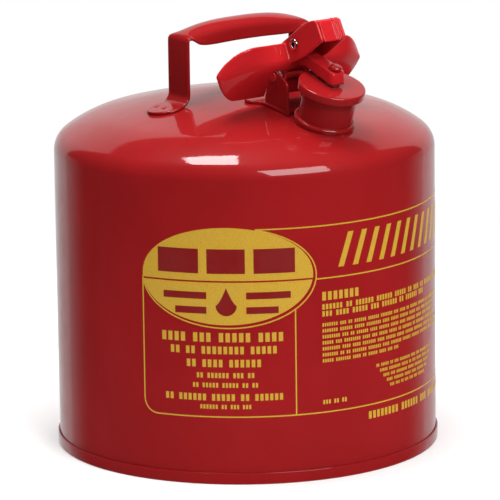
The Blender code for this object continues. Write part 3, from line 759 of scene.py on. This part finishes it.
def build_latch(red, bright):
    """The ribbed hold-open latch between the cheeks, and the tubular rivet it turns on."""
    width = CHEEK_INNER - 2 * GAP
    axis = axis_frame(LATCH_PIVOT, (1, 0, 0))
    latch = side_plate("latch", soften([
        (-0.1080, 0.3662), (-0.1114, 0.3650), (-0.1178, 0.3524), (-0.1190, 0.3500),
        (-0.1174, 0.3490), (-0.1150, 0.3512), (-0.1102, 0.3600), (-0.0961, 0.3505),
        (-0.0849, 0.3396), (-0.0819, 0.3390), (-0.0796, 0.3411), (-0.0793, 0.3451),
        (-0.0821, 0.3485), (-0.0911, 0.3550), (-0.1021, 0.3640),
    ], 0.0010), -width, width)
    slot = side_plate("slot", [
        (-0.0915, 0.335), (-0.073, 0.335), (-0.073, 0.353), (-0.0915, 0.353),
    ], -0.0050, 0.0050)
    combine(latch, slot, "DIFFERENCE")
    bore(latch, LATCH_BORE + GAP, axis, 0.03)
    ribs = [side_plate("rib", soften([
        (-0.1085, 0.3650), (-0.1090, 0.3670), (-0.1122, 0.3660), (-0.1199, 0.3508),
        (-0.1188, 0.3494), (-0.1160, 0.3520), (-0.1110, 0.3630)], 0.0012),
        x - 0.0010, x + 0.0010) for x in (0.0046, 0.0084)]
    latch = cast([latch] + ribs, 0.00035, 5)
    finish_piece(latch, "thumb_latch", "latch", "lever_enamel", red, "hold_open_latch", sharp=60)
    reach = CHEEK_OUTER + GAP
    turned("latch_tube_rivet", [
        (0.0024, -reach - 0.0012), (0.0044, -reach - 0.0012), (0.0050, -reach),
        (LATCH_BORE, -reach), (LATCH_BORE, reach), (0.0050, reach),
        (0.0044, reach + 0.0012), (0.0024, reach + 0.0012)],
        0.0006, 64, "lever", "bright_steel", bright, "latch_rivet", axis)


def build_bracket(red):
    """The plate that follows the dome, with two ears bent up from it."""
    metal_depth = 0.0023
    outline = mirrored([(0.0200, -0.0803), (0.0215, -0.0500), (0.0285, -0.0440), (0.0285, -0.0360)])
    plate = level_plate("plate", soften(outline, 0.0025, 5), 0.270, 0.310)
    skin = lathe("skin", [(0.0, 0.200), (0.125, 0.200)]
                 + [p for p in crown_profile(GAP + metal_depth) if p[0] < 0.125], 144)
    combine(plate, skin, "INTERSECT")
    combine(plate, dome_seat(0.0001, 1, 144), "DIFFERENCE")
    parts = [plate]
    for side in (-1, 1):
        top = arc_points((PIVOT.y, PIVOT.z), 0.0062, 0, 123, 20)
        front = soften([top[-1], (-0.0820, 0.3116), (-0.0822, 0.3030),
                        (-0.0835, crown_height(0.0855) + GAP)], 0.003, 5, closed=False)
        ear = side_plate("ear", [(-0.0530, crown_height(0.057) + GAP), (-0.0535, 0.2990)]
                         + top[:-1] + front, side * EAR_INNER, side * EAR_OUTER)
        parts.append(bore(ear, PIN_RADIUS + GAP, axis_frame(PIVOT, (1, 0, 0)), 0.05))
    bracket = cast(parts, 0.0005, 4)
    finish_piece(bracket, "bracket_weldment", "can", "enamel", red, "hinge_bracket", sharp=60)


# The handle

def grip_height(x):
    """Height of the grip's top, gently arched along its length."""
    return HANDLE_TOP - mix(GRIP_SAG, HANDLE_ARCH, abs(x / HANDLE_HALF_SPAN) ** ARCH_POWER)


def roll(x):
    """How far the grip's edges are rolled down at one x, from 0 to 1."""
    return max(0.0, 1 - (abs(x) / GRIP_END) ** GRIP_POWER)


def handle_path():
    """Stations from the left foot's tip: point, way out, rolling, width and seating."""
    leg_x = -HANDLE_HALF_SPAN
    tip = leg_x - FOOT_LENGTH + FOOT_TRIM
    toe_z = crown_height(hypot(tip, HANDLE_OFFSET)) + HANDLE_METAL
    heel_z = crown_height(hypot(leg_x, HANDLE_OFFSET)) + HANDLE_METAL
    slope = atan2(heel_z - toe_z, FOOT_LENGTH)
    toe = HANDLE_WIDTH / 2 * FOOT_FLARE
    path = []
    for i in range(1, 17):
        angle = pi / 2 * i / 16
        ahead = toe * (1 - cos(angle))
        point = (tip + ahead, mix(toe_z, heel_z, ahead / FOOT_LENGTH))
        path.append((point, pi / 2 + slope, 0.0, FOOT_FLARE * sin(angle), 1.0))
    for i in range(1, 5):
        ahead = mix(toe, FOOT_LENGTH - HANDLE_HEEL, i / 5)
        point = (tip + ahead, mix(toe_z, heel_z, ahead / FOOT_LENGTH))
        path.append((point, pi / 2 + slope, 0.0, mix(FOOT_FLARE, 1.0, i / 5), 1.0))
    centre = (leg_x - HANDLE_HEEL, heel_z + HANDLE_HEEL)
    for i in range(11):
        angle = mix(-pi / 2 + slope, 0.0, i / 10)
        point = arc_end(centre, HANDLE_HEEL, degrees(angle))
        path.append((point, angle + pi, 0.0, 1.0, max(0.0, 1 - i / 4)))
    lean = radians(KNEE_LEAN)
    knee = (leg_x + HANDLE_KNEE, grip_height(leg_x) - KNEE_DROP)
    for i in range(1, 8):
        path.append(((leg_x, mix(centre[1], knee[1], i / 8)), pi, 0.0, 1.0, 0.0))
    for i in range(13):
        angle = mix(pi, lean, i / 12)
        point = arc_end(knee, HANDLE_KNEE, degrees(angle))
        path.append((point, angle, roll(point[0]), 1.0, 0.0))
    start = path[-1][0][0]
    for i in range(1, 37):
        x = mix(start, 0.0, i / 36)
        angle = mix(lean, pi / 2, min(1.0, i / 5))
        path.append(((x, grip_height(x)), angle, roll(x), 1.0, 0.0))
    return path


def strap_section(rolled, width_share):
    """Half of the strap's cross-section from its middle to its lip: centre line and way out."""
    half = HANDLE_WIDTH / 2 * width_share - HANDLE_METAL / 2
    corner = GRIP_ROUND - HANDLE_METAL / 2
    turn = pi / 2 * (1 - (1 - rolled) ** 2)
    bow = min(turn, GRIP_BOW * rolled)
    side = (GRIP_DEPTH - HANDLE_METAL / 2 - GRIP_ROUND) * rolled
    flat = half - corner * (sin(turn) - sin(bow)) - side * cos(turn)
    line = []
    for i in range(9):
        a = bow * i / 8
        x = flat * sin(a) / sin(bow) if bow > 1e-4 else flat * i / 8
        drop = flat * (1 - cos(a)) / sin(bow) if bow > 1e-4 else 0.0
        line.append(((x, -drop), a))
    (x, z), _ = line[-1]
    for i in range(1, 9):
        a = mix(bow, turn, i / 8)
        line.append(((x + corner * (sin(a) - sin(bow)),
                      z - corner * (cos(bow) - cos(a))), a))
    (x, z), _ = line[-1]
    for i in range(1, 4):
        ahead = side * i / 3
        line.append(((x + ahead * cos(turn), z - ahead * sin(turn)), turn))
    return line


def strap_ring(point, angle, rolled, width_share, seating):
    """Cross-section of the strap at one station of its path."""
    out = Vector((cos(angle), 0.0, sin(angle)))
    half_metal = HANDLE_METAL / 2
    line = strap_section(rolled, width_share)
    outer = [(p[0] + half_metal * sin(a), p[1] + half_metal * cos(a)) for p, a in line]
    inner = [(p[0] - half_metal * sin(a), p[1] - half_metal * cos(a)) for p, a in line]
    (x, z), a = line[-1]
    lip = [(x + half_metal * sin(a + k * pi / 6),
            z + half_metal * cos(a + k * pi / 6)) for k in range(1, 6)]
    right = outer + lip + inner[::-1]
    left = [(-p, q) for p, q in right[1:-1]][::-1]
    ring = []
    for across, up in right + left:
        place = Vector((point[0], HANDLE_OFFSET + across, point[1])) + (up - half_metal) * out
        seat = crown_height(hypot(place.x, place.y)) + HANDLE_METAL / 2 + up - 0.00005
        ring.append(Vector((place.x, place.y, mix(place.z, seat, seating))))
    return ring


def build_handle(red):
    """One strap: two spot-welded feet, two legs and the grip with its edges rolled down."""
    half = [strap_ring(*station) for station in handle_path()]
    other = [[Vector((-p.x, p.y, p.z)) for p in ring] for ring in half[-2::-1]]
    handle = loft("handle", half + other)
    weld_x = HANDLE_REACH - FOOT_LENGTH * 0.42
    welds = [(side * weld_x, HANDLE_OFFSET + across)
             for side in (-1, 1) for across in (-0.0048, 0.0052)]
    for vert in handle.data.vertices:
        top = vert.co.z > crown_height(hypot(vert.co.x, vert.co.y)) + HANDLE_METAL * 0.8
        if top and vert.co.z < 0.30:
            for x, y in welds:
                near = hypot(vert.co.x - x, vert.co.y - y) / WELD_RADIUS
                vert.co.z -= WELD_DEPTH * exp(-near * near)
    finish_piece(handle, "strap_handle", "can", "enamel", red, "carry_handle", sharp=60)


# The printed label

INK_DEPTH = 0.00010
LINE_WIDTH = 0.0011
PRINT_STEP = 0.004
LABEL_LEFT, LABEL_DIVIDER, LABEL_RIGHT = -69.7, -23.6, 57.0
LABEL_BOTTOM, LABEL_MIDDLE, LABEL_TOP = 0.0558, 0.1662, 0.2092
OVAL_BEARING, OVAL_HEIGHT = -43.9, 0.1712
OVAL_HALF_WIDTH, OVAL_HALF_HEIGHT = 0.0708, 0.0397
CORNER = 0.0120


def arc_at(bearing):
    """Distance along the wall from -Y for a bearing."""
    return radians(bearing) * BODY_RADIUS


def on_wall(along, height, proud):
    """A point on the can's wall, given the distance along it from -Y."""
    bearing = along / BODY_RADIUS
    out = Vector((sin(bearing), -cos(bearing), 0.0))
    base = BODY_RADIUS * out + Vector((0.0, 0.0, height))
    return base + out * (wave(base) + proud)


class Print:
    """Thin patches of one ink on the can's wall."""

    def __init__(self, proud=INK_DEPTH):
        self.bm = bmesh.new()
        self.proud = proud

    def patch(self, columns):
        """A patch between columns of (along, height) points, as a thin closed sheet."""
        top, under = [[[self.bm.verts.new(on_wall(a, h, lift)) for a, h in column]
                       for column in columns] for lift in (self.proud, -0.00005)]
        for first, second, low, lower in zip(top, top[1:], under, under[1:]):
            for i in range(len(first) - 1):
                self.bm.faces.new((first[i], second[i], second[i + 1], first[i + 1]))
                self.bm.faces.new((low[i], low[i + 1], lower[i + 1], lower[i]))
            for i in (0, -1):
                self.bm.faces.new((first[i], low[i], lower[i], second[i]))
        for above, below in ((top[0], under[0]), (top[-1], under[-1])):
            for i in range(len(above) - 1):
                self.bm.faces.new((above[i], above[i + 1], below[i + 1], below[i]))

    def fill(self, left, right, lower, upper, count):
        """A patch between two curves, each giving a height for a distance along the wall."""
        stations = [mix(left, right, (1 - cos(pi * i / count)) / 2) for i in range(count + 1)]
        self.patch([[(a, lower(a)), (a, upper(a))] for a in stations])

    def bar(self, left, right, low, high):
        """A plain upright rectangle."""
        count = max(1, ceil((right - left) / PRINT_STEP))
        self.patch([[(mix(left, right, i / count), low), (mix(left, right, i / count), high)]
                    for i in range(count + 1)])

    def line(self, points):
        """A line of even width through (along, height) points."""
        path = [Vector(point) for point in points]
        self.patch([[point + leftward(path, i) * side * LINE_WIDTH / 2 for side in (-1, 1)]
                    for i, point in enumerate(path)])

    def words(self, left, right, height, size, rng):
        """A row of plain blocks in word-like groups, standing for a line of small print."""
        pitch = size * 0.72
        place = left
        while place < right - pitch * 2:
            letters = rng.randint(2, 8)
            for _ in range(letters):
                if place + pitch > right:
                    break
                self.bar(place, place + pitch * 0.66, height - size / 2, height + size / 2)
                place += pitch
            place += pitch * 0.9

    def piece(self, name, material):
        """Finish the print as one piece on the can."""
        return finish_piece(make_object(name, self.bm), name, "can", None, material, sharp=50)


def run(start, end):
    """Evenly spaced points on a straight line."""
    start, end = Vector(start), Vector(end)
    count = max(1, ceil((end - start).length / PRINT_STEP))
    return [start.lerp(end, i / count) for i in range(count + 1)]


def oval_edge(along, side, grow=0.0, shift=(0.0, 0.0)):
    """Height of the oval's upper or lower edge at a distance along the wall."""
    across = (along - arc_at(OVAL_BEARING) - shift[0]) / (OVAL_HALF_WIDTH + grow)
    rise = (OVAL_HALF_HEIGHT + grow) * sqrt(max(0.0, 1 - across * across))
    return OVAL_HEIGHT + shift[1] + side * rise


def oval_outline(start, end, grow, shift, steps):
    """Points round the oval between two angles in degrees, from the right counterclockwise."""
    centre = (arc_at(OVAL_BEARING) + shift[0], OVAL_HEIGHT + shift[1])
    angles = [radians(mix(start, end, i / steps)) for i in range(steps + 1)]
    return [(centre[0] + (OVAL_HALF_WIDTH + grow) * cos(a),
             centre[1] + (OVAL_HALF_HEIGHT + grow) * sin(a)) for a in angles]


def build_label(yellow, dark_red):
    """A plain label: framed panels, an oval, a striped band and rows of blank print."""
    left, divider, right = arc_at(LABEL_LEFT), arc_at(LABEL_DIVIDER), arc_at(LABEL_RIGHT)
    ring_shift, ring_grow = (0.0013, -0.0012), 0.0014

    frame_ink = Print()
    corners = arc_points((left + CORNER, LABEL_BOTTOM + CORNER), CORNER, 180, 270, 10)
    far_low = arc_points((right - CORNER, LABEL_BOTTOM + CORNER), CORNER, 270, 360, 10)
    far_high = arc_points((right - CORNER, LABEL_TOP - CORNER), CORNER, 0, 90, 10)
    ring_left = oval_outline(180, 180, ring_grow, ring_shift, 1)[0]
    top_start = oval_outline(72, 72, ring_grow, ring_shift, 1)[0]
    frame_ink.line(run((left, ring_left[1] - 0.002), corners[0]) + corners[1:-1]
                   + run(corners[-1], far_low[0]) + far_low[1:-1]
                   + run(far_low[-1], far_high[0]) + far_high[1:-1]
                   + run(far_high[-1], (top_start[0], LABEL_TOP)))
    ring_right = oval_outline(-4, -4, ring_grow, ring_shift, 1)[0]
    frame_ink.line(run((ring_right[0], LABEL_MIDDLE), (right, LABEL_MIDDLE)))
    frame_ink.line(run((divider, LABEL_BOTTOM), (divider, oval_edge(divider, -1, ring_grow, ring_shift))))
    frame_ink.line(oval_outline(-178, 72, ring_grow, ring_shift, 120))
    frame_ink.piece("label_frame_lines", yellow)

    oval = Print()
    centre = arc_at(OVAL_BEARING)
    ends = (centre - OVAL_HALF_WIDTH, centre + OVAL_HALF_WIDTH)
    split = 0.1670
    seam = 0.0007
    oval.fill(*ends, lambda a: min(split + seam, oval_edge(a, 1)), lambda a: oval_edge(a, 1), 72)
    oval.fill(*ends, lambda a: oval_edge(a, -1), lambda a: max(split - seam, oval_edge(a, -1)), 72)
    oval.piece("label_oval", yellow)

    blank = Print(INK_DEPTH * 1.8)
    low, high = 0.1735, 0.1935
    for start, end in ((-64.5, -52.0), (-49.5, -38.3), (-35.8, -23.6)):
        blank.bar(arc_at(start), arc_at(end), low, high)
    drop_radius, drop_height = 0.0085, 0.1475
    blank.fill(
        centre - drop_radius, centre + drop_radius,
        lambda a: drop_height - sqrt(max(0.0, drop_radius ** 2 - (a - centre) ** 2)),
        lambda a: drop_height + 0.0145 * (1 - abs(a - centre) / drop_radius) ** 1.5, 24)
    for side in (-1, 1):
        for height, start, end in ((0.1555, 0.016, 0.052), (0.1435, 0.016, 0.042)):
            ends = sorted((centre + side * start, centre + side * end))
            blank.bar(*ends, height - 0.0028, height + 0.0028)
    blank.piece("label_oval_blanks", dark_red)

    stripes = Print()
    low, high, lean, thick = 0.1742, 0.2020, 0.0095, 0.0052
    for i in range(12):
        start = arc_at(-10.0) + i * 0.0137
        rows = [mix(low, high, k / 6) for k in range(7)]
        edges = [[(start + lean * (h - low) / (high - low) + shift, h) for h in rows]
                 for shift in (0.0, thick / 2, thick)]
        stripes.patch(edges)
    stripes.piece("label_stripes", yellow)

    rng = random.Random(7)
    small = Print()
    middle = arc_at(-44.2)
    for height, size, half in ((0.1213, 0.0075, 0.0530), (0.1108, 0.0062, 0.0456),
                               (0.1000, 0.0062, 0.0321), (0.0901, 0.0042, 0.0239),
                               (0.0820, 0.0038, 0.0272), (0.0720, 0.0055, 0.0505),
                               (0.0642, 0.0035, 0.0214)):
        small.words(middle - half, middle + half, height, size, rng)
    margin = arc_at(-15.3)
    for end, height, size in ((-2.3, 0.1515, 0.0070), (46.0, 0.1427, 0.0044), (30.0, 0.1370, 0.0044)):
        small.words(margin, arc_at(end), height, size, rng)
    for row in range(7):
        end = arc_at(rng.uniform(38, 48)) if row < 6 else arc_at(14.0)
        small.words(margin, end, 0.1280 - row * 0.00495, 0.0028, rng)
    middle = arc_at(20.0)
    for row in range(5):
        half = 0.045 - 0.004 * row
        small.words(middle - half, middle + half, 0.0870 - row * 0.0046, 0.0026, rng)
    small.words(margin, arc_at(-6.8), 0.0642, 0.0035, rng)
    small.words(arc_at(0.5), arc_at(52.0), 0.0472, 0.0062, rng)
    small.piece("label_blank_print", yellow)


# Studio

def direction(bearing, elevation):
    """Unit vector for a bearing round the can and an elevation, in degrees."""
    b, e = radians(bearing), radians(elevation)
    return Vector((sin(b) * cos(e), -cos(b) * cos(e), sin(e)))


def softbox(name, bearing, elevation, distance, size, power):
    """A rectangular soft light, aimed at the can."""
    light = bpy.data.lights.new(name, "AREA")
    light.shape = "RECTANGLE"
    light.size, light.size_y = size
    light.energy = power
    obj = linked(name, light)
    towards = direction(bearing, elevation)
    obj.location = VIEW_TARGET + distance * towards
    obj.rotation_mode = "QUATERNION"
    obj.rotation_quaternion = towards.to_track_quat("Z", "Y")
    return obj


def build_world():
    """White for the camera, soft light, and a lit cove behind for reflections."""
    world = bpy.data.worlds.new("studio")
    bpy.context.scene.world = world
    world.use_nodes = True
    s = Nodes(world.node_tree)
    s.tree.nodes.clear()

    way = s.add("ShaderNodeTexCoord").outputs["Generated"]
    behind = tuple(-direction(VIEW_BEARING, 0.0))
    away = s.add("ShaderNodeVectorMath", {0: way, 1: behind}, operation="DOT_PRODUCT").outputs["Value"]
    height = s.add("ShaderNodeSeparateXYZ", {0: way}).outputs["Z"]
    level = s.math(s.math(s.math(1.0, s.math(height, height), "SUBTRACT"), 0.0001, "MAXIMUM"),
                   0.5, "POWER")
    facing = s.math(away, level, "DIVIDE")
    cove = s.math(s.ramp(facing, 0.68, 0.74, 0.0, 0.62), s.ramp(height, 0.70, 0.67))
    floor = s.math(s.ramp(facing, 0.35, 1.0, 0.0, 0.70), s.ramp(height, 0.09, 0.05))
    room = s.ramp(height, -0.1, 0.9, 0.010, 0.022)
    studio = s.math(s.math(cove, floor, "MAXIMUM"), room, "ADD")

    path = s.add("ShaderNodeLightPath")
    glossy = path.outputs["Is Glossy Ray"]
    camera = path.outputs["Is Camera Ray"]
    soft = s.math(s.ramp(height, -0.1, 1.0, 0.26, 0.60), s.ramp(height, -0.6, -0.1, 0.5, 0.0), "ADD")
    strength = s.add("ShaderNodeMix", {0: glossy, 2: soft, 3: studio}, data_type="FLOAT").outputs[0]
    seen = s.add("ShaderNodeMix", {0: camera, 2: strength, 3: 1.0}, data_type="FLOAT").outputs[0]
    background = s.add("ShaderNodeBackground", {"Color": (1.0, 1.0, 1.0, 1.0), "Strength": seen})
    output = s.add("ShaderNodeOutputWorld")
    s.feed(output.inputs["Surface"], background.outputs[0])


def build_stage():
    """A pale floor that fades into the white behind it."""
    bm = bmesh.new()
    rings = [[bm.verts.new((0.0, 0.0, 0.0))]]
    for radius in (0.5, 1.5, 4.0, 12.0, 40.0):
        rings.append([bm.verts.new(point) for point in circle(radius, 64)])
    bridge(bm, rings)
    floor = make_object("floor", bm)
    floor.data.shade_smooth()
    s = Shader("floor_paper")
    s.set("Base Color", s.blend(s.noise(3.0, 3.0), (0.90, 0.90, 0.90, 1.0), (0.94, 0.94, 0.94, 1.0)))
    s.set("Roughness", 0.85)
    s.set("Specular IOR Level", 0.1)
    radius = s.add("ShaderNodeVectorMath", {0: s.place}, operation="LENGTH").outputs["Value"]
    faded = s.add("ShaderNodeMixShader", {
        0: s.ramp(radius, 0.40, 0.90), 1: s.surface.outputs[0],
        2: s.add("ShaderNodeBsdfTransparent").outputs[0]})
    s.feed(s.tree.nodes["Material Output"].inputs["Surface"], faded.outputs[0])
    floor.data.materials.append(s.material)
    floor.visible_glossy = False

    softbox("key", VIEW_BEARING + 34.5, 38, 2.6, (1.6, 1.2), 44)
    tent = softbox("tent", 0, 90, 1.5, (1.3, 1.3), 19)
    tent.visible_glossy = False
    softbox("overhead", VIEW_BEARING - 92, 80.4, 1.38, (0.38, 0.37), 7)


def build_camera():
    """The photograph's viewpoint, with its small roll."""
    data = bpy.data.cameras.new("photo_view")
    data.lens = VIEW_LENS
    data.sensor_width = 36.0
    data.shift_x = VIEW_SHIFT
    data.clip_end = 100.0
    camera = linked("photo_view", data)
    back = direction(VIEW_BEARING, VIEW_ELEVATION)
    right = Vector((0, 0, 1)).cross(back).normalized()
    up = back.cross(right)
    roll = radians(VIEW_ROLL)
    tilted = cos(roll) * right + sin(roll) * up
    upright = cos(roll) * up - sin(roll) * right
    place = VIEW_TARGET + VIEW_DISTANCE * back
    camera.matrix_world = Matrix([
        (tilted[i], upright[i], back[i], place[i]) for i in range(3)] + [(0, 0, 0, 1)])
    bpy.context.scene.camera = camera
    bpy.context.scene.view_settings.view_transform = "Standard"


def main():
    """Build every piece, the studio and the camera."""
    red = enamel("red_enamel", (0.280, 0.0082, 0.0096))
    # Painted light: the lever, its pin and the latch get a lighter copy of the can's red enamel, standing
    # in for the light that falls on their faces.
    lever_red_lit = enamel("lever_red_lit_enamel", (0.490, 0.0125, 0.0165), wear=0.5)
    zinc = metal("zinc_plate", (0.62, 0.62, 0.60), 0.34)
    bright = metal("bright_rivet_steel", (0.80, 0.80, 0.79), 0.16, tarnish=0.3)
    spring = metal("spring_steel", (0.40, 0.40, 0.42), 0.32, tarnish=0.6)
    brass = metal("arrester_brass", (0.72, 0.53, 0.25), 0.32)
    gauze = metal("gauze_steel", (0.52, 0.52, 0.50), 0.36, tarnish=0.6)
    black = rubber("gasket_rubber", (0.022, 0.022, 0.022))
    yellow = ink("label_yellow_ink", (0.54, 0.325, 0.026), (0.47, 0.235, 0.022, 1.0))
    dark_red = ink("label_red_ink", (0.205, 0.0045, 0.0050), (0.23, 0.008, 0.006, 1.0))

    build_can(red)
    build_spout(red, brass, zinc, gauze)
    build_cap(red, black, zinc)
    build_lever(lever_red_lit)
    build_springs(spring)
    build_latch(lever_red_lit, bright)
    build_bracket(red)
    build_handle(red)
    build_label(yellow, dark_red)
    build_world()
    build_stage()
    build_camera()


main()
